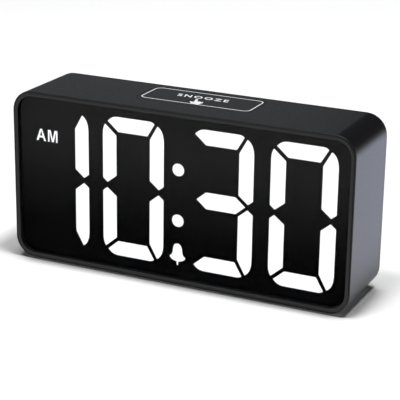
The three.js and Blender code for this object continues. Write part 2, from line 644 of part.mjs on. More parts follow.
// a cell from its flat end; its small positive cap points along the given direction
function cell(name, z, flat, direction) {
  const capL = 1;
  const shoulder = flat + direction * (CELL_L - capL);
  const nose = flat + direction * CELL_L;
  const can = rodX(CELL_Y, z, CELL_R, Math.min(flat, shoulder), Math.max(flat, shoulder), 24);
  const cap = rodX(CELL_Y, z, 1.9, Math.min(shoulder, nose) - 0.2, Math.max(shoulder, nose) + 0.2, 16)
    .intersect(box(Math.min(flat, nose), Math.max(flat, nose), 0, 20, z - 3, z + 3));
  add(name, can.add(cap), CELL);
}

// cone-shaped wire spring that stands on a contact plate
function spring(x, z, length, direction) {
  const turns = 2.5;
  const steps = 24;
  const wire = 0.35;
  const points = [...Array(steps + 1).keys()].map((i) => {
    const part = i / steps;
    const turn = part * turns * Math.PI * 2;
    const r = 3.4 - 1.4 * part;
    const away = part * (length - wire) - 0.1;
    return new THREE.Vector3(x + direction * away, CELL_Y + r * Math.cos(turn), z + r * Math.sin(turn));
  });
  const section = new THREE.Shape().absarc(0, 0, wire, 0, Math.PI * 2, false);
  const extrudePath = new THREE.CatmullRomCurve3(points);
  const options = { steps, bevelEnabled: false, extrudePath, curveSegments: 3 };
  return solid(new THREE.ExtrudeGeometry(section, options));
}

// the door turns on two pins at its lower edge, and its top edge swings out
function batteryDoor() {
  const [x0, x1] = [BAY_X - DOOR_W / 2, BAY_X + DOOR_W / 2];
  const leaf = box(x0, x1, DOOR_BACK, DOOR_BACK + DOOR_T, HINGE_Z, BAY_Z + DOOR_H / 2);
  const round = rodX(HINGE_Y, HINGE_Z, DOOR_T / 2, x0, x1, 16);
  const pins = rodX(HINGE_Y, HINGE_Z, HINGE_R, x0 - 1.2, x1 + 1.2, 12);
  const grip = block(BAY_X, BAY_Z + DOOR_H / 2, 14, 5, REAR - 0.9, REAR + 1);
  add('battery_door', join([leaf, round, pins]).subtract(grip), CASE);
}

// ---- feet and screws ----
function footPads() {
  feet().forEach(([x, y], i) => {
    add(`foot_pad_${i + 1}`, rodZ(x, y, FOOT_R, 0, STAND + 0.6, 20), RUBBER);
  });
}

function rearScrews() {
  screws().forEach(([x, z], i) => {
    const seat = REAR - 1.7 + GLUE;
    const head = rodY(x, z, 2.6, seat, seat + 1.4, 16);
    const shank = rodY(x, z, 1.4, 4, seat + 0.2, 10);
    const slots = [[2.8, 0.6], [0.6, 2.8]].map(([w, h]) => block(x, z, w, h, seat + 0.7, seat + 2));
    add(`rear_screw_${i + 1}`, cut(head.add(shank), slots), METAL);
  });
}

housingShell();
lensStack();
diffusers();
ledModule();
rearCover();
setKeys();
keyBoard();
sliders();
dimmer();
snooze();
mainBoard();
sockets();
speaker();
batteryBay();
batteryDoor();
footPads();
rearScrews();

export default clock;
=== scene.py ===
import json
import math

import bmesh
import bpy
from mathutils import Matrix, Vector


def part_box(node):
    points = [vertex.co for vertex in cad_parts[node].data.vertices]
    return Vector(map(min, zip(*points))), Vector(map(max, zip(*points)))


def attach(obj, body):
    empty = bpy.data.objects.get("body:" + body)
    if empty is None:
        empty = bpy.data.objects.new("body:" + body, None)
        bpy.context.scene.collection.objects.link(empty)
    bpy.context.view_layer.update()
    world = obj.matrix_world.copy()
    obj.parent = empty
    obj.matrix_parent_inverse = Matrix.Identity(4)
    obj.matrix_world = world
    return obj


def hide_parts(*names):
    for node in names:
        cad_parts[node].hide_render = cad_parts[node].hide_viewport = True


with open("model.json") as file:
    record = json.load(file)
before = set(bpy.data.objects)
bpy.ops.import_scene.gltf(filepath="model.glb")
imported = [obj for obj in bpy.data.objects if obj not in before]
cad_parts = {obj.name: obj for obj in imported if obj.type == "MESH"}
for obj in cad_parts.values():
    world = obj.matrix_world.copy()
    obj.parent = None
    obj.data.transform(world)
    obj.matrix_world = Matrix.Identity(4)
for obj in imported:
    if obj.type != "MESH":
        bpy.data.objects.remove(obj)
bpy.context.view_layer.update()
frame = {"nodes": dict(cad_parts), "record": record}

# Looks of the bedside alarm clock, in metres, in the frame of its CAD model: display towards -Y.
NODES = frame["nodes"]
MM = 0.001

# ---- sizes taken from the frame ----
SHELL_LOW, SHELL_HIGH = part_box("housing_shell")
COVER_LOW, COVER_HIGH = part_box("rear_cover")
LENS_LOW, LENS_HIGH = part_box("front_lens")
MASK_LOW, MASK_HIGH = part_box("display_mask")
KEY_LOW, KEY_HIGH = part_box("snooze_key")
WIDTH = SHELL_HIGH.x - SHELL_LOW.x
HEIGHT = SHELL_HIGH.z - SHELL_LOW.z
MIDDLE_Z = (SHELL_HIGH.z + SHELL_LOW.z) / 2
FRONT = SHELL_LOW.y
TOP = SHELL_HIGH.z
CORNER = 8.8 * MM
WALL = 2.05 * MM
CORNER_STEPS = 16

# ---- finish of the meshes ----
WELD = 1e-6              # points nearer than this are one point
FLAT_ANGLE = 0.5         # degrees between faces that are merged into one
SHARP_ANGLE = 50         # degrees from which an edge is shaded sharp
SMALL_EDGE = 0.15 * MM
KEY_EDGE = 0.3 * MM
SCREW_EDGE = 0.06 * MM

# ---- display layout, as in the CAD model ----
DIGIT_W = 27.8 * MM
DIGIT_H = 59.45 * MM
STROKE = 6.4 * MM
BAR = 7.1 * MM
BAR_RISE = 0.45 * MM
DIGIT_MARGIN = 0.4 * MM
DIGIT_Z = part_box("hour_units_diffuser")[0].z + DIGIT_MARGIN
COLON_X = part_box("colon_bell_diffuser")[0].x + 4.2 * MM
COLON_R = 2.65 * MM
COLON_Z = (27.45 * MM, 48.9 * MM)
BELL_Z = 8.25 * MM
LEGEND_X = -60.2 * MM
LEGEND_W = 11.4 * MM
LEGEND_H = 6 * MM
LETTER_H = 5.15 * MM
AM_Z = 54.75 * MM
PLATE_T = 0.7 * MM
INK_T = 0.04 * MM

# ---- snooze key and its print ----
KEY_MIDDLE = (KEY_LOW + KEY_HIGH) / 2
KEY_CORNER = 4 * MM
FLANGE_X = 2 * MM        # what the hidden flange adds to the width of the key's face
FLANGE_Y = 1.6 * MM      # and to its depth
FACE_GROWTH = 0.1 * MM   # the face and its mouth, each past the outline of the CAD face
MOUTH_GROWTH = 0.15 * MM
FRAME_W = 48 * MM
FRAME_D = 16.8 * MM
FRAME_LINE = 0.45 * MM

# ---- screw posts inside the housing ----
POST_R = 3.1 * MM
POST_BORE = 1.7 * MM
RIB_HALF = 1 * MM

# ---- back of the clock ----
CONTROL_PITCH = 13.5 * MM
SYMBOL_Z = 47.2 * MM
BACK_PARTS = ("rear_cover", "battery_door", "usb_port", "dc_jack", "alarm_slider", "volume_slider",
              "dimmer_wheel")
KEYS = ("time_key", "alarm_key", "hour_key", "minute_key", "daylight_key")
SCREWS = ("rear_screw_1", "rear_screw_2", "rear_screw_3", "rear_screw_4")


# ---------------------------------------------------------------- materials
def new_material(name):
    """A node material and its Principled shader."""
    material = bpy.data.materials.new(name)
    material.use_nodes = True
    return material, material.node_tree.nodes["Principled BSDF"]


def add_node(material, kind, inputs=None, **settings):
    """A node with its settings and input values; an input may be another node's output."""
    node = material.node_tree.nodes.new(kind)
    for key, value in settings.items():
        setattr(node, key, value)
    for key, value in (inputs or {}).items():
        if isinstance(value, bpy.types.NodeSocket):
            material.node_tree.links.new(value, node.inputs[key])
        else:
            node.inputs[key].default_value = value
    return node


def ramp(material, factor, low, high, colour_low, colour_high):
    """A colour that runs from one tone to another between two values of a factor."""
    node = add_node(material, "ShaderNodeValToRGB", {"Fac": factor})
    node.color_ramp.elements[0].position = low
    node.color_ramp.elements[0].color = (*colour_low, 1)
    node.color_ramp.elements[1].position = high
    node.color_ramp.elements[1].color = (*colour_high, 1)
    return node.outputs["Color"]


def tone_ramp(material, factor, tones):
    """Greys that follow a factor through several (position, tone) stops."""
    node = add_node(material, "ShaderNodeValToRGB", {"Fac": factor})
    stops = node.color_ramp.elements
    while len(stops) < len(tones):
        stops.new(0.5)
    for stop, (position, tone) in zip(stops, tones):
        stop.position = position
        stop.color = (tone, tone, tone, 1)
    return node.outputs["Color"]


def noise(material, scale, detail=2.0, stretch=None):
    """Noise in object space, with its scale in features per metre."""
    point = add_node(material, "ShaderNodeTexCoord").outputs["Object"]
    if stretch:
        point = add_node(material, "ShaderNodeMapping", {"Vector": point, "Scale": stretch}).outputs["Vector"]
    return add_node(material, "ShaderNodeTexNoise", {"Vector": point, "Scale": scale, "Detail": detail})


def bumped(material, shader, height, strength, distance):
    """Gives a shader a fine relief."""
    bump = add_node(material, "ShaderNodeBump", {
        "Height": height, "Strength": strength, "Distance": distance})
    material.node_tree.links.new(bump.outputs["Normal"], shader.inputs["Normal"])


def scaled(colour, factor):
    """The colour made lighter or darker by a factor."""
    return tuple(min(channel * factor, 1) for channel in colour)


def moulded(name, colour, roughness, grain=1400, relief=0.02 * MM):
    """Moulded plastic: fine spark-eroded grain, slight mottling of tone and gloss."""
    material, shader = new_material(name)
    cloud = noise(material, 60, 3).outputs["Fac"]
    tone = ramp(material, cloud, 0.35, 0.65, scaled(colour, 0.92), scaled(colour, 1.08))
    material.node_tree.links.new(tone, shader.inputs["Base Color"])
    fine = noise(material, grain, 2).outputs["Fac"]
    gloss = add_node(material, "ShaderNodeMapRange", {
        "Value": fine, "From Min": 0.3, "From Max": 0.7,
        "To Min": roughness - 0.04, "To Max": roughness + 0.04})
    material.node_tree.links.new(gloss.outputs["Result"], shader.inputs["Roughness"])
    shader.inputs["IOR"].default_value = 1.37
    bumped(material, shader, fine, 0.25, relief)
    return material


def metal(name, colour, roughness, stretch=(1, 1, 12)):
    """Plated or brushed metal with fine drawn lines."""
    material, shader = new_material(name)
    lines = noise(material, 700, 3, stretch).outputs["Fac"]
    tone = ramp(material, lines, 0.3, 0.7, scaled(colour, 0.85), scaled(colour, 1.1))
    material.node_tree.links.new(tone, shader.inputs["Base Color"])
    shader.inputs["Metallic"].default_value = 1
    shader.inputs["Roughness"].default_value = roughness
    bumped(material, shader, lines, 0.2, 0.01 * MM)
    return material


def circuit_board(name):
    """Green solder mask with darker copper runs and tinned spots."""
    material, shader = new_material(name)
    runs = add_node(material, "ShaderNodeTexBrick", {
        "Vector": add_node(material, "ShaderNodeTexCoord").outputs["Object"], "Scale": 260,
        "Color1": (0.012, 0.11, 0.035, 1), "Color2": (0.010, 0.085, 0.03, 1), "Mortar": (0.03, 0.22, 0.07, 1),
        "Mortar Size": 0.03})
    spots = add_node(material, "ShaderNodeTexVoronoi", {
        "Vector": add_node(material, "ShaderNodeTexCoord").outputs["Object"], "Scale": 420})
    pad = ramp(material, spots.outputs["Distance"], 0.10, 0.13, (1, 1, 1), (0, 0, 0))
    mix = add_node(material, "ShaderNodeMix", data_type="RGBA")
    links = material.node_tree.links
    links.new(pad, mix.inputs["Factor"])
    links.new(runs.outputs["Color"], mix.inputs["A"])
    mix.inputs["B"].default_value = (0.5, 0.5, 0.48, 1)
    links.new(mix.outputs["Result"], shader.inputs["Base Color"])
    shader.inputs["Roughness"].default_value = 0.35
    bumped(material, shader, runs.outputs["Fac"], 0.3, 0.02 * MM)
    return material


def fibrous(name, colour):
    """Pressed paper or foam: matt, with a fibre relief."""
    material, shader = new_material(name)
    fibre = noise(material, 2200, 4).outputs["Fac"]
    tone = ramp(material, fibre, 0.3, 0.7, scaled(colour, 0.6), scaled(colour, 1.5))
    material.node_tree.links.new(tone, shader.inputs["Base Color"])
    shader.inputs["Roughness"].default_value = 0.9
    bumped(material, shader, fibre, 0.5, 0.05 * MM)
    return material


def cell_sleeve(name):
    """Printed shrink sleeve of a small cell: copper over the first third, dark over the rest."""
    material, shader = new_material(name)
    point = add_node(material, "ShaderNodeTexCoord").outputs["Object"]
    along = add_node(material, "ShaderNodeSeparateXYZ", {"Vector": point}).outputs["X"]
    low, high = (corner.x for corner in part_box("battery_cell_1"))
    part = add_node(material, "ShaderNodeMapRange", {"Value": along, "From Min": low, "From Max": high})
    band = ramp(material, part.outputs["Result"], 0.33, 0.34, (0.42, 0.22, 0.07), (0.02, 0.02, 0.022))
    material.node_tree.links.new(band, shader.inputs["Base Color"])
    scuffs = noise(material, 500, 3).outputs["Fac"]
    shader.inputs["Metallic"].default_value = 0.6
    shader.inputs["Roughness"].default_value = 0.32
    bumped(material, shader, scuffs, 0.15, 0.02 * MM)
    return material


def mask_film(name):
    """Black printed film behind the lens, with a painted reflection: its tone runs from near black at the
    foot to dark grey at the top, as the lens's reflection of the floor would.
    """
    material, shader = new_material(name)
    point = add_node(material, "ShaderNodeTexCoord").outputs["Object"]
    up = add_node(material, "ShaderNodeSeparateXYZ", {"Vector": point}).outputs["Z"]
    part = add_node(material, "ShaderNodeMapRange", {
        "Value": up, "From Min": MASK_LOW.z, "From Max": MASK_HIGH.z})
    # painted reflection: the film's grey rises from near black at the foot to dark grey at the top
    tones = ((0.0, 0.0002), (0.25, 0.0007), (0.5, 0.0072), (0.75, 0.0175), (1.0, 0.021))
    tone = tone_ramp(material, part.outputs["Result"], tones)
    material.node_tree.links.new(tone, shader.inputs["Base Color"])
    shader.inputs["Roughness"].default_value = 0.9
    shader.inputs["Specular IOR Level"].default_value = 0
    bumped(material, shader, noise(material, 900, 2).outputs["Fac"], 0.1, 0.01 * MM)
    return material


def lens_acrylic(name):
    """Clear coated acrylic: it passes nearly all light, and its polish is a little uneven."""
    material, shader = new_material(name)
    smear = noise(material, 25, 3).outputs["Fac"]
    haze = add_node(material, "ShaderNodeMapRange", {"Value": smear, "To Min": 0.05, "To Max": 0.11})
    material.node_tree.links.new(haze.outputs["Result"], shader.inputs["Roughness"])
    shader.inputs["Base Color"].default_value = (0.004, 0.004, 0.005, 1)
    shader.inputs["IOR"].default_value = 1.35
    shader.inputs["Alpha"].default_value = 0.05
    return material


def lit_diffuser(name):
    """Opal plastic lit from behind, very slightly uneven."""
    material, shader = new_material(name)
    cloud = noise(material, 160, 1).outputs["Fac"]
    tone = ramp(material, cloud, 0.3, 0.7, (0.97, 0.98, 1), (1, 1, 1))
    material.node_tree.links.new(tone, shader.inputs["Emission Color"])
    shader.inputs["Base Color"].default_value = (0.25, 0.25, 0.25, 1)
    shader.inputs["Emission Strength"].default_value = 1.05
    shader.inputs["Roughness"].default_value = 0.6
    return material


def printed_ink(name, colour):
    """Screen-printed ink: slightly uneven, a little glossier than the plastic under it."""
    material, shader = new_material(name)
    cloud = noise(material, 1800, 2).outputs["Fac"]
    tone = ramp(material, cloud, 0.3, 0.7, scaled(colour, 0.88), colour)
    material.node_tree.links.new(tone, shader.inputs["Base Color"])
    shader.inputs["Roughness"].default_value = 0.4
    bumped(material, shader, cloud, 0.1, 0.01 * MM)
    return material


def make_materials():
    """One material for each slot of the record."""
    case = (0.005, 0.005, 0.0056)
    return {
        "case_plastic": moulded("case_plastic", case, 0.36),
        "lens_acrylic": lens_acrylic("lens_acrylic"),
        # the film's tone holds a painted reflection, lighter towards the top
        "mask_film": mask_film("mask_film"),
        "foam_tape": fibrous("foam_tape", (0.02, 0.02, 0.02)),
        "lit_diffuser": lit_diffuser("lit_diffuser"),
        "white_plastic": moulded("white_plastic", (0.78, 0.78, 0.76), 0.45, 900),
        "circuit_board": circuit_board("circuit_board"),
        "key_plastic": moulded("key_plastic", (0.022, 0.022, 0.024), 0.42),
        "black_plastic": moulded("black_plastic", (0.006, 0.006, 0.006), 0.4),
        "plated_steel": metal("plated_steel", (0.56, 0.57, 0.59), 0.28),
        "cell_sleeve": cell_sleeve("cell_sleeve"),
        "speaker_paper": fibrous("speaker_paper", (0.02, 0.018, 0.015)),
        "foot_rubber": fibrous("foot_rubber", (0.012, 0.012, 0.012)),
    }


MATERIALS = make_materials()
INK = printed_ink("silver_ink", (0.86, 0.87, 0.89))
SLOTS = {part["node"]: part["material_slot"] for part in frame["record"]["subparts"]}
BODIES = {node: body for body, members in frame["record"]["behaviour"]["bodies"].items() for node in members}


# ---------------------------------------------------------------- mesh helpers
def rounded_rect(width, height, radius, steps=CORNER_STEPS):
    """Points of a rectangle with round corners about the origin, counter-clockwise."""
    points = []
    for side_x, side_z, start in ((1, -1, -90), (1, 1, 0), (-1, 1, 90), (-1, -1, 180)):
        for i in range(steps + 1):
            angle = math.radians(start + 90 * i / steps)
            points.append((side_x * (width / 2 - radius) + radius * math.cos(angle),
                           side_z * (height / 2 - radius) + radius * math.sin(angle)))
    return points


def body_ring(inset, y):
    """The housing outline pulled in by an inset, as points at one depth."""
    radius = max(CORNER - inset, 0.5 * MM)
    outline = rounded_rect(WIDTH - 2 * inset, HEIGHT - 2 * inset, radius)
    return [(x, y, z + MIDDLE_Z) for x, z in outline]


def object_from(name, bm):
    """A linked object from a bmesh, which it frees."""
    bmesh.ops.recalc_face_normals(bm, faces=bm.faces)
    mesh = bpy.data.meshes.new(name)
    bm.to_mesh(mesh)
    bm.free()
    obj = bpy.data.objects.new(name, mesh)
    bpy.context.scene.collection.objects.link(obj)
    return obj


def skin(name, rings, loop=False, caps=False):
    """Surface over a row of rings with the same number of points."""
    bm = bmesh.new()
    rows = [[bm.verts.new(point) for point in ring] for ring in rings]
    for a, b in list(zip(rows, rows[1:])) + ([(rows[-1], rows[0])] if loop else []):
        for i in range(len(a)):
            j = (i + 1) % len(a)
            bm.faces.new((a[i], a[j], b[j], b[i]))
    if caps:
        bm.faces.new(rows[0])
        bm.faces.new(rows[-1])
    return object_from(name, bm)


def quarter(radius, steps=4):
    """(drop, run) pairs of a quarter round, from the side wall round to the flat face."""
    turns = [i / steps * math.pi / 2 for i in range(steps + 1)]
    return [(radius * (1 - math.cos(t)), radius * (1 - math.sin(t))) for t in turns]


def bake(obj):
    """Applies the object's modifiers to its mesh."""
    graph = bpy.context.evaluated_depsgraph_get()
    mesh = bpy.data.meshes.new_from_object(obj.evaluated_get(graph))
    obj.modifiers.clear()
    obj.data = mesh


def carve(obj, cutters):
    """Cuts closed meshes out of an object and removes them."""
    for cutter in cutters:
        modifier = obj.modifiers.new("cut", "BOOLEAN")
        modifier.operation = "DIFFERENCE"
        modifier.solver = "EXACT"
        modifier.object = cutter
    bake(obj)
    for cutter in cutters:
        bpy.data.objects.remove(cutter)


def soften(obj, width, segments=2, angle=35):
    """Small round edges, smooth shading, and flat faces that stay flat."""
    if width:
        bevel = obj.modifiers.new("edges", "BEVEL")
        bevel.width = width
        bevel.segments = segments
        bevel.limit_method = "ANGLE"
        bevel.angle_limit = math.radians(angle)
        bevel.miter_outer = "MITER_ARC"
        bake(obj)
    for polygon in obj.data.polygons:
        polygon.use_smooth = True
    obj.data.set_sharp_from_angle(angle=math.radians(SHARP_ANGLE))
    normals = obj.modifiers.new("normals", "WEIGHTED_NORMAL")
    normals.keep_sharp = True
    bake(obj)


def place(obj, body, slot, material=None, stands_for=()):
    """Gives a piece its material, its body and the CAD nodes that it stands for."""
    obj.data.materials.clear()
    obj.data.materials.append(material or MATERIALS[slot])
    for polygon in getattr(obj.data, "polygons", []):
        polygon.material_index = 0
    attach(obj, body)
    if stands_for:
        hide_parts(*stands_for)
    return obj


def flat_shape(name, outlines, low, high, level=False):
    """Plate of closed outlines, upright between two depths or level between two heights.

    An outline inside another is a hole.
    """
    curve = bpy.data.curves.new(name, "CURVE")
    curve.dimensions = "2D"
    curve.fill_mode = "BOTH"
    curve.extrude = (high - low) / 2
    for points in outlines:
        spline = curve.splines.new("POLY")
        spline.points.add(len(points) - 1)
        for point, (x, z) in zip(spline.points, points):
            point.co = (x, z, 0, 1)
        spline.use_cyclic_u = True
    middle = (low + high) / 2
    if level:
        return meshed(name, curve, Matrix.Translation((0, 0, middle)))
    return meshed(name, curve, Matrix.Translation((0, middle, 0)) @ Matrix.Rotation(math.pi / 2, 4, "X"))


def meshed(name, curve, matrix):
    """A mesh object from a curve or a text, moved by a matrix."""
    source = bpy.data.objects.new(name + "_curve", curve)
    bpy.context.scene.collection.objects.link(source)
    graph = bpy.context.evaluated_depsgraph_get()
    mesh = bpy.data.meshes.new_from_object(source.evaluated_get(graph))
    bpy.data.objects.remove(source)
    mesh.transform(matrix)
    bm = bmesh.new()
    bm.from_mesh(mesh)
    bmesh.ops.remove_doubles(bm, verts=bm.verts, dist=WELD)
    return object_from(name, bm)


def refined(node, edge, segments=2):
    """A finely finished piece that stands for a CAD node of the same shape."""
    bm = bmesh.new()
    bm.from_mesh(NODES[node].data)
    bmesh.ops.remove_doubles(bm, verts=bm.verts, dist=WELD)
    bmesh.ops.dissolve_limit(bm, angle_limit=math.radians(FLAT_ANGLE), verts=bm.verts, edges=bm.edges)
    obj = object_from(node + "_fine", bm)
    soften(obj, edge, segments)
    return place(obj, BODIES[node], SLOTS[node], stands_for=[node])


# ---------------------------------------------------------------- display figures
def curve_points(points, steps=6):
    """Outline points from corners; a corner with two more numbers is reached by a quadratic curve."""
    result = []
    for corner in points:
        x, z, *control = corner
        if control:
            x0, z0 = result[-1]
            cx, cz = control
            for i in range(1, steps):
                t = i / steps
                result.append(((1 - t) ** 2 * x0 + 2 * t * (1 - t) * cx + t * t * x,
                               (1 - t) ** 2 * z0 + 2 * t * (1 - t) * cz + t * t * z))
        result.append((x, z))
    if math.dist(result[0], result[-1]) < 1e-6:
        result.pop()
    return result


def figure_half(middle, reach, direction):
    """Corner points of the segments above or below the middle of the bar, in millimetres."""
    width, stroke = DIGIT_W / MM, STROKE / MM
    inner, under = width - stroke, reach - stroke
    tip, shoulder, taper = 1.05, 2.8, 4.4
    shapes = {
        "cap": [(2.3, reach - 2.3), (6.8, reach, 4.2, reach), (width - 6.4, reach),
                (width - 4.2, reach - 1, width - 4.9, reach - 0.1),
                (inner - 1, under), (stroke + 0.7, under)],
        "left": [(1.2, reach - 3.45), (stroke, under - 1.45), (stroke, taper), (2.1, tip),
                 (0, shoulder), (0, reach - 8), (1.2, reach - 3.45, 0, reach - 5)],
        "right": [(width - 3, reach - 1.55), (width, reach - 7.8, width - 0.2, reach - 2.9),
                  (width, shoulder), (width - 2.3, tip), (inner, taper), (inner, under - 1.25)],
    }
    return {key: [tuple(middle + direction * value if i % 2 else value for i, value in enumerate(point))
                  for point in points] for key, points in shapes.items()}


def figure_segments():
    """Corner points of a figure's segments from its lower left corner, in millimetres."""
    width, height, bar = DIGIT_W / MM, DIGIT_H / MM, BAR / MM
    middle = height / 2 + BAR_RISE / MM
    upper = figure_half(middle, height - middle, 1)
    lower = figure_half(middle, middle, -1)
    flat, end = 7.5, 3.3
    cross = [(end, middle), (flat, middle + bar / 2), (width - flat, middle + bar / 2),
             (width - end, middle), (width - flat, middle - bar / 2), (flat, middle - bar / 2)]
    return {"top": upper["cap"], "left": upper["left"], "right": upper["right"], "middle": cross,
            "foot": lower["cap"], "left_low": lower["left"], "right_low": lower["right"]}


SEGMENTS = figure_segments()
ONE = ("right", "right_low")
ZERO = ("top", "left", "right", "foot", "left_low", "right_low")
THREE = ("top", "right", "middle", "right_low", "foot")
FIGURES = {"hour_tens": ONE, "hour_units": ZERO, "minute_tens": THREE, "minute_units": ZERO}


def figure_outlines(name):
    """Outlines of a figure's lit segments, in metres."""
    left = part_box(name + "_diffuser")[1].x - DIGIT_MARGIN - DIGIT_W
    return [moved(curve_points(SEGMENTS[key]), left, DIGIT_Z) for key in FIGURES[name]]


def circle(x, z, radius, steps=40):
    """Points of a circle, counter-clockwise."""
    turns = [i / steps * 2 * math.pi for i in range(steps)]
    return [(x + radius * math.cos(t), z + radius * math.sin(t)) for t in turns]


def mirrored(half):
    """Closed outline from its right half, which starts on the top of the middle line or beside it."""
    return half + [(-x, z) for x, z in reversed(half) if abs(x) > 1e-9]


def bell(scale=1.0):
    """Outline of a bell with its clapper, about the foot of its middle line, in millimetres."""
    dome = [(0.45, 9.4), (2.05, 7.2, 1.75, 9.1), (2.4, 4.9, 2.2, 5.9)]
    lip = [(3.65, 3.7, 2.75, 4.2), (0.45, 1.65, 3.1, 1.95)]
    clapper = [(0.4, 0.3), (0.2, 0.05)]
    half = curve_points([*dome, *lip, *clapper])
    return [(x * scale, z * scale) for x, z in mirrored(half)]


def moved(points, x, z):
    """Points in millimetres, moved to a place in metres."""
    return [(x + px * MM, z + pz * MM) for px, pz in points]


def turned(points, degrees):
    """The points turned anticlockwise about their origin."""
    cosine, sine = math.cos(math.radians(degrees)), math.sin(math.radians(degrees))
    return [(x * cosine - z * sine, x * sine + z * cosine) for x, z in points]


def letters_am():
    """Bold sans A and M about the middle of their window, in millimetres. The A has a hole."""
    height = LETTER_H / MM
    a_shape = [(0.1, 0), (1.95, height), (3.0, height), (4.85, 0),
               (3.75, 0), (3.3, 1.3), (1.65, 1.3), (1.2, 0)]
    a_hole = [(2.0, 2.2), (2.95, 2.2), (2.48, 4.2)]
    m_half = [(0, 1.55), (0.85, height), (2.35, height), (2.35, 0), (1.45, 0), (1.45, 3.9), (0.5, 0)]
    m_shape = mirrored(m_half)
    shift_a, shift_m = -5.27, 2.7
    return [[(x + shift_a, z - height / 2) for x, z in a_shape],
            [(x + shift_a, z - height / 2) for x, z in a_hole],
            [(x + shift_m, z - height / 2) for x, z in m_shape]]


def box_outline(low, high):
    """Upright rectangle between two corners."""
    return [(low.x, low.z), (high.x, low.z), (high.x, high.z), (low.x, high.z)]


def lit_display():
    """The film with a window for each lit segment, and behind each window a lit pad on its white plate."""
    groups = {name: figure_outlines(name) for name in FIGURES}
    groups["colon_bell"] = [circle(COLON_X, z, COLON_R) for z in COLON_Z] + [moved(bell(), COLON_X, BELL_Z)]
    windows = [points for outlines in groups.values() for points in outlines]
    windows += [moved(points, LEGEND_X, AM_Z) for points in letters_am()]
    inset = LENS_LOW.x - SHELL_LOW.x
    edge = [(x, z) for x, _, z in body_ring(inset, 0)]
    film = flat_shape("display_film", [edge, *windows], MASK_LOW.y, MASK_HIGH.y)
    place(film, "case", "mask_film", stands_for=["display_mask"])
    half_w, half_h = LEGEND_W / 2 / MM, LEGEND_H / 2 / MM
    legend = [(-half_w, -half_h), (half_w, -half_h), (half_w, half_h), (-half_w, half_h)]
    groups["am_pm"] = [moved(legend, LEGEND_X, AM_Z)]
    for name, outlines in groups.items():
        node = name + "_diffuser"
        low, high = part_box(node)
        plate_front = high.y - PLATE_T
        pads = flat_shape(name + "_lit", outlines, low.y, plate_front)
        place(pads, "case", "lit_diffuser", stands_for=[node])
        plate = flat_shape(name + "_plate", [box_outline(low, high)], plate_front, high.y)
        soften(plate, 0.1 * MM)
        place(plate, "case", "white_plastic")


# ---------------------------------------------------------------- outer pieces
def housing():
    """The shell: a grooved front rim, a recess for the lens, and the mouth of the snooze key."""
    rear = SHELL_HIGH.y
    ledge_in = 4.1 * MM
    ledge_y = LENS_HIGH.y + 0.75 * MM
    ledge_back = ledge_y + 1.2 * MM
    chamfer_w, chamfer_d = 0.4 * MM, 0.16 * MM
    groove_out, groove_w, groove_d = 0.35 * MM, 0.35 * MM, 0.35 * MM
    rings = [body_ring(ledge_in, ledge_y), body_ring(WALL, ledge_y)]
    rings += [body_ring(WALL, FRONT + chamfer_d), body_ring(WALL - chamfer_w, FRONT)]
    rings += [body_ring(groove_out + groove_w, FRONT + run) for run in (0, groove_d)]
    rings.append(body_ring(groove_out, FRONT + groove_d))
    for inset, run in reversed(quarter(groove_out, 6)):
        rings.append(body_ring(inset, FRONT + run))
    rings += [body_ring(0, rear), body_ring(WALL, rear)]
    rings += [body_ring(WALL, ledge_back), body_ring(ledge_in, ledge_back)]
    shell = skin("housing", rings, loop=True)
    carve(shell, [snooze_cutter(MOUTH_GROWTH), *foot_cutters()])
    soften(shell, 0)
    place(shell, "case", "case_plastic", stands_for=["housing_shell"])
    posts()


def tube(name, x, z, radius, bore, y0, y1, steps=32):
    """Upright tube along the depth."""
    rings = []
    for r, y in ((bore, y0), (radius, y0), (radius, y1), (bore, y1)):
        rings.append([(px, y, pz) for px, pz in circle(x, z, r, steps)])
    return skin(name, rings, loop=True)


def posts():
    """The screw posts inside the housing, each tied to the side wall by a rib."""
    start, end = -2 * MM, COVER_LOW.y - 0.2 * MM
    for i in range(1, 5):
        low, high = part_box(f"rear_screw_{i}")
        x, z = (low.x + high.x) / 2, (low.z + high.z) / 2
        post = tube(f"screw_post_{i}", x, z, POST_R, POST_BORE, start, end)
        soften(post, SMALL_EDGE)
        place(post, "case", "case_plastic")
        side = math.copysign(1, x)
        ends = sorted((x + side * 2.9 * MM, side * (WIDTH / 2 - WALL + 0.2 * MM)))
        under, over = z - RIB_HALF, z + RIB_HALF
        corners = [(ends[0], under), (ends[1], under), (ends[1], over), (ends[0], over)]
        rib = flat_shape(f"screw_rib_{i}", [corners], start, end)
        place(rib, "case", "case_plastic")


def snooze_outline(grow, steps=10):
    """Outline of the snooze key's face, grown all round."""
    width = KEY_HIGH.x - KEY_LOW.x - FLANGE_X
    depth = KEY_HIGH.y - KEY_LOW.y - FLANGE_Y
    outline = rounded_rect(width + 2 * grow, depth + 2 * grow, KEY_CORNER + grow, steps)
    return [(x + KEY_MIDDLE.x, y + KEY_MIDDLE.y) for x, y in outline]


def snooze_cutter(grow):
    """What is cut out of the top for the snooze key."""
    outline = snooze_outline(grow)
    rings = [[(x, y, z) for x, y in outline] for z in (TOP - 2 * WALL, TOP + WALL)]
    return skin("snooze_cutter", rings, caps=True)


def foot_cutters():
    """What is cut out of the underside for the four feet."""
    cutters = []
    for i in range(1, 5):
        low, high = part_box(f"foot_pad_{i}")
        middle = (low + high) / 2
        ring = circle(middle.x, middle.y, (high.x - low.x) / 2 + 0.2 * MM)
        rings = [[(x, y, z) for x, y in ring] for z in (-MM, high.z + 0.1 * MM)]
        cutters.append(skin("foot_cutter", rings, caps=True))
    return cutters


def lens():
    """The acrylic pane, with a fine polished edge."""
    inset = LENS_LOW.x - SHELL_LOW.x - 0.15 * MM
    edge = 0.15 * MM
    rings = [body_ring(inset + out, LENS_LOW.y + run) for out, run in reversed(quarter(edge, 3))]
    rings.append(body_ring(inset, LENS_HIGH.y))
    pane = skin("lens_pane", rings, caps=True)
    soften(pane, 0)
    place(pane, "case", "lens_acrylic", stands_for=["front_lens"])


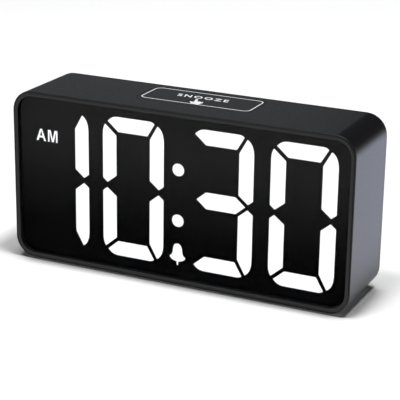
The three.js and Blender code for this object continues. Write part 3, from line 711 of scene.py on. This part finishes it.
def snooze_key():
    """The flush key with its printed frame, word and pressing hand."""
    edge = 0.2 * MM
    rings = [[(x, y, KEY_LOW.z + 0.4 * MM) for x, y in snooze_outline(FACE_GROWTH)]]
    rings += [[(x, y, TOP - run) for x, y in snooze_outline(FACE_GROWTH - out)] for out, run in quarter(edge)]
    cap = skin("snooze_cap", rings, caps=True)
    soften(cap, 0)
    place(cap, "snooze", "case_plastic", stands_for=["snooze_key"])
    middle = KEY_MIDDLE
    frame_at = (middle.x + 0.2 * MM, middle.y + 0.6 * MM)
    outer = rounded_rect(FRAME_W + FRAME_LINE, FRAME_D + FRAME_LINE, 2.8 * MM, 8)
    inner = rounded_rect(FRAME_W - FRAME_LINE, FRAME_D - FRAME_LINE, 2.4 * MM, 8)
    frame_line = [[(x + frame_at[0], y + frame_at[1]) for x, y in ring] for ring in (outer, inner)]
    printed("snooze_frame", frame_line, "snooze")
    hand_at = (middle.x + 1.0 * MM, middle.y - 7.8 * MM)
    printed("snooze_hand", [moved(turned(hand(), 15), *hand_at)], "snooze")
    word = bpy.data.curves.new("snooze_word", "FONT")
    word.body = "SNOOZE"
    word.align_x = "CENTER"
    word.size = 4.7 * MM
    word.offset = 0.1 * MM
    word.shear = -0.22
    word.space_character = 1.32
    word.extrude = INK_T / 2
    word_at = (middle.x + 0.1 * MM, middle.y + 0.9 * MM, TOP + INK_T / 4)
    text = meshed("snooze_word", word, Matrix.Translation(word_at))
    place(text, "snooze", "key_plastic", material=INK)


def hand():
    """A hand that points away from the user, in millimetres about the middle of its cuff."""
    return curve_points([
        (-1.7, 0), (1.6, 0), (1.8, 1.0), (2.6, 2.2), (2.7, 3.6), (2.2, 4.0, 2.7, 4.0), (1.75, 3.7),
        (1.6, 4.2), (1.0, 4.4, 1.3, 4.5), (0.75, 4.1), (0.55, 4.5), (0.1, 4.5), (0.1, 6.9),
        (-0.5, 7.5, 0.1, 7.5), (-1.1, 6.9, -1.1, 7.5), (-1.1, 3.0), (-2.0, 3.8),
        (-2.8, 3.5, -2.6, 4.1), (-2.4, 2.4)])


def arrowhead(direction):
    """A triangle that points up (1) or down (-1), in millimetres."""
    return [(-1.5, -0.9 * direction), (1.5, -0.9 * direction), (0, 1.3 * direction)]


def sun():
    """A disc with eight rays, in millimetres."""
    rays = []
    for i in range(8):
        ray = [(-0.16, 1.2), (0.16, 1.2), (0.16, 1.85), (-0.16, 1.85)]
        rays.append(turned(ray, 45 * i))
    return [circle(0, 0, 0.85, 24), *rays]


def rear_symbols():
    """Plain pictograms under the controls on the back, one for each control."""
    ring = [circle(0, 0, 1.6, 32), circle(0, 0, 1.3, 32)]
    hands = [(-0.15, -0.15), (0.85, -0.15), (0.85, 0.15), (0.15, 0.15), (0.15, 1.0), (-0.15, 1.0)]
    half_disc = [(x, z) for x, z in circle(0, 0, 1.1, 32) if x > -0.01]
    symbols = {
        "time_key": [*ring, hands],
        "alarm_key": [[(x, z - 1.6) for x, z in bell(0.34)]],
        "hour_key": [arrowhead(1)],
        "minute_key": [arrowhead(-1)],
        "daylight_key": sun(),
        "alarm_slider": [*ring, circle(0, 0, 0.6, 20)],
        "volume_slider": [[(-1.8, -1), (1.8, -1), (-1.8, 1.2)]],
        "dimmer_wheel": [*ring, half_disc],
    }
    outlines = []
    middle = (len(symbols) - 1) / 2
    for i, shapes in enumerate(symbols.values()):
        x = (middle - i) * CONTROL_PITCH
        outlines += [moved(points, x, SYMBOL_Z) for points in shapes]
    printed("rear_symbols", outlines, "case", rear=True)


def printed(name, outlines, body, rear=False):
    """A thin film of ink on the top of the clock, or on its back."""
    if rear:
        film = flat_shape(name, outlines, COVER_HIGH.y - INK_T / 2, COVER_HIGH.y + INK_T / 2)
    else:
        film = flat_shape(name, outlines, TOP - INK_T / 2, TOP + INK_T / 2, level=True)
    place(film, body, "key_plastic", material=INK)


# ---------------------------------------------------------------- camera, floor and light
def camera():
    """The eye a little to the right of the clock and above it."""
    azimuth, elevation, roll = math.radians(25.09), math.radians(18.97), math.radians(0.85)
    distance, target = 0.6082, Vector((2.39, 0, 31.76)) * MM
    back = Vector((math.sin(azimuth) * math.cos(elevation), -math.cos(azimuth) * math.cos(elevation),
                   math.sin(elevation)))
    level = Vector((0, 0, 1)).cross(back).normalized()
    upright = back.cross(level)
    right = level * math.cos(roll) + upright * math.sin(roll)
    up = back.cross(right)
    data = bpy.data.cameras.new("camera")
    data.lens = 133.55
    data.sensor_width = 36
    obj = bpy.data.objects.new("camera", data)
    bpy.context.scene.collection.objects.link(obj)
    turn = Matrix((right, up, back)).transposed().to_4x4()
    obj.matrix_world = Matrix.Translation(target + back * distance) @ turn
    bpy.context.scene.camera = obj


def area_light(name, place_at, aim_at, size, power, colour=(1, 1, 1)):
    """A rectangular lamp at one place, turned towards another; the camera doesn't see it."""
    data = bpy.data.lights.new(name, "AREA")
    data.shape = "RECTANGLE"
    data.size, data.size_y = size
    data.energy = power
    data.color = colour
    obj = bpy.data.objects.new(name, data)
    bpy.context.scene.collection.objects.link(obj)
    obj.location = place_at
    obj.rotation_mode = "QUATERNION"
    obj.rotation_quaternion = (Vector(place_at) - Vector(aim_at)).to_track_quat("Z", "Y")
    obj.visible_camera = False


def pale_floor():
    """A round sheet of pale paper, with a painted contact shadow: its colour is darkened where the clock
    stands close to it.
    """
    bm = bmesh.new()
    bmesh.ops.create_circle(bm, cap_ends=True, segments=96, radius=0.95)
    floor = object_from("floor", bm)
    material, shader = new_material("floor_paper")
    cloud = noise(material, 3, 2).outputs["Fac"]
    tone = ramp(material, cloud, 0.3, 0.7, (0.90, 0.90, 0.90), (0.93, 0.93, 0.93))
    # painted contact shadow: ambient occlusion within 12 mm darkens the paper's colour beside and under the
    # clock
    sky = add_node(material, "ShaderNodeAmbientOcclusion", {"Distance": 12 * MM}, samples=8)
    painted_shadow_stops = ((0, 1), (0.3, 0.8), (0.42, 0.2), (0.5, 0.28), (0.6, 0.52), (0.7, 0.74), (0.8, 0.9), (1, 1))
    painted_shadow = tone_ramp(material, sky.outputs["AO"], painted_shadow_stops)
    toned = add_node(material, "ShaderNodeVectorMath", {0: tone, 1: painted_shadow}, operation="MULTIPLY")
    material.node_tree.links.new(toned.outputs["Vector"], shader.inputs["Base Color"])
    shader.inputs["Roughness"].default_value = 0.9
    shader.inputs["Specular IOR Level"].default_value = 0.1
    floor.data.materials.append(material)


def lamps():
    """Two large soft boxes overhead and four dim cards around the clock."""
    ground = (0, 0, 0)
    area_light("right_box", (0.96, -0.18, 4.0), ground, (0.90, 0.64), 122)
    area_light("front_box", (-0.50, -0.98, 4.0), ground, (0.84, 0.60), 70)
    area_light("back_card", (-0.80, 1.5, 0.62), (0, 0, 0.05), (0.75, 0.9), 0.55, (0.88, 0.94, 1))
    area_light("side_card", (0.234, 0.27, 0.003), (0.234, 0.27, 1), (0.30, 0.56), 0.51, (0.60, 0.67, 1))
    area_light("front_card", (-0.58, -1.2, 0.50), (0, 0, 0.03), (0.6, 0.5), 4)
    area_light("low_card", (1.20, -0.10, 0.95), ground, (0.6, 0.6), 2.2)


def surround():
    """A white background for the camera, and a dim bluish room for everything else."""
    world = bpy.data.worlds.new("studio")
    bpy.context.scene.world = world
    world.use_nodes = True
    tree = world.node_tree
    tree.nodes.clear()
    seen = tree.nodes.new("ShaderNodeBackground")
    seen.inputs["Strength"].default_value = 1.0
    seen.inputs["Color"].default_value = (1, 1, 1, 1)
    room = tree.nodes.new("ShaderNodeBackground")
    room.inputs["Color"].default_value = (0.9, 0.95, 1, 1)
    room.inputs["Strength"].default_value = 0.03
    ray = tree.nodes.new("ShaderNodeLightPath")
    mix = tree.nodes.new("ShaderNodeMixShader")
    output = tree.nodes.new("ShaderNodeOutputWorld")
    tree.links.new(ray.outputs["Is Camera Ray"], mix.inputs["Fac"])
    tree.links.new(room.outputs["Background"], mix.inputs[1])
    tree.links.new(seen.outputs["Background"], mix.inputs[2])
    tree.links.new(mix.outputs["Shader"], output.inputs["Surface"])
    bpy.context.scene.view_settings.view_transform = "Standard"


camera()
pale_floor()
lamps()
surround()
for name, node in NODES.items():
    node.data.materials.clear()
    node.data.materials.append(MATERIALS[SLOTS[name]])
housing()
lens()
lit_display()
snooze_key()
rear_symbols()
for name in BACK_PARTS:
    refined(name, SMALL_EDGE)
for name in KEYS:
    refined(name, KEY_EDGE, 3)
for name in SCREWS:
    refined(name, SCREW_EDGE)
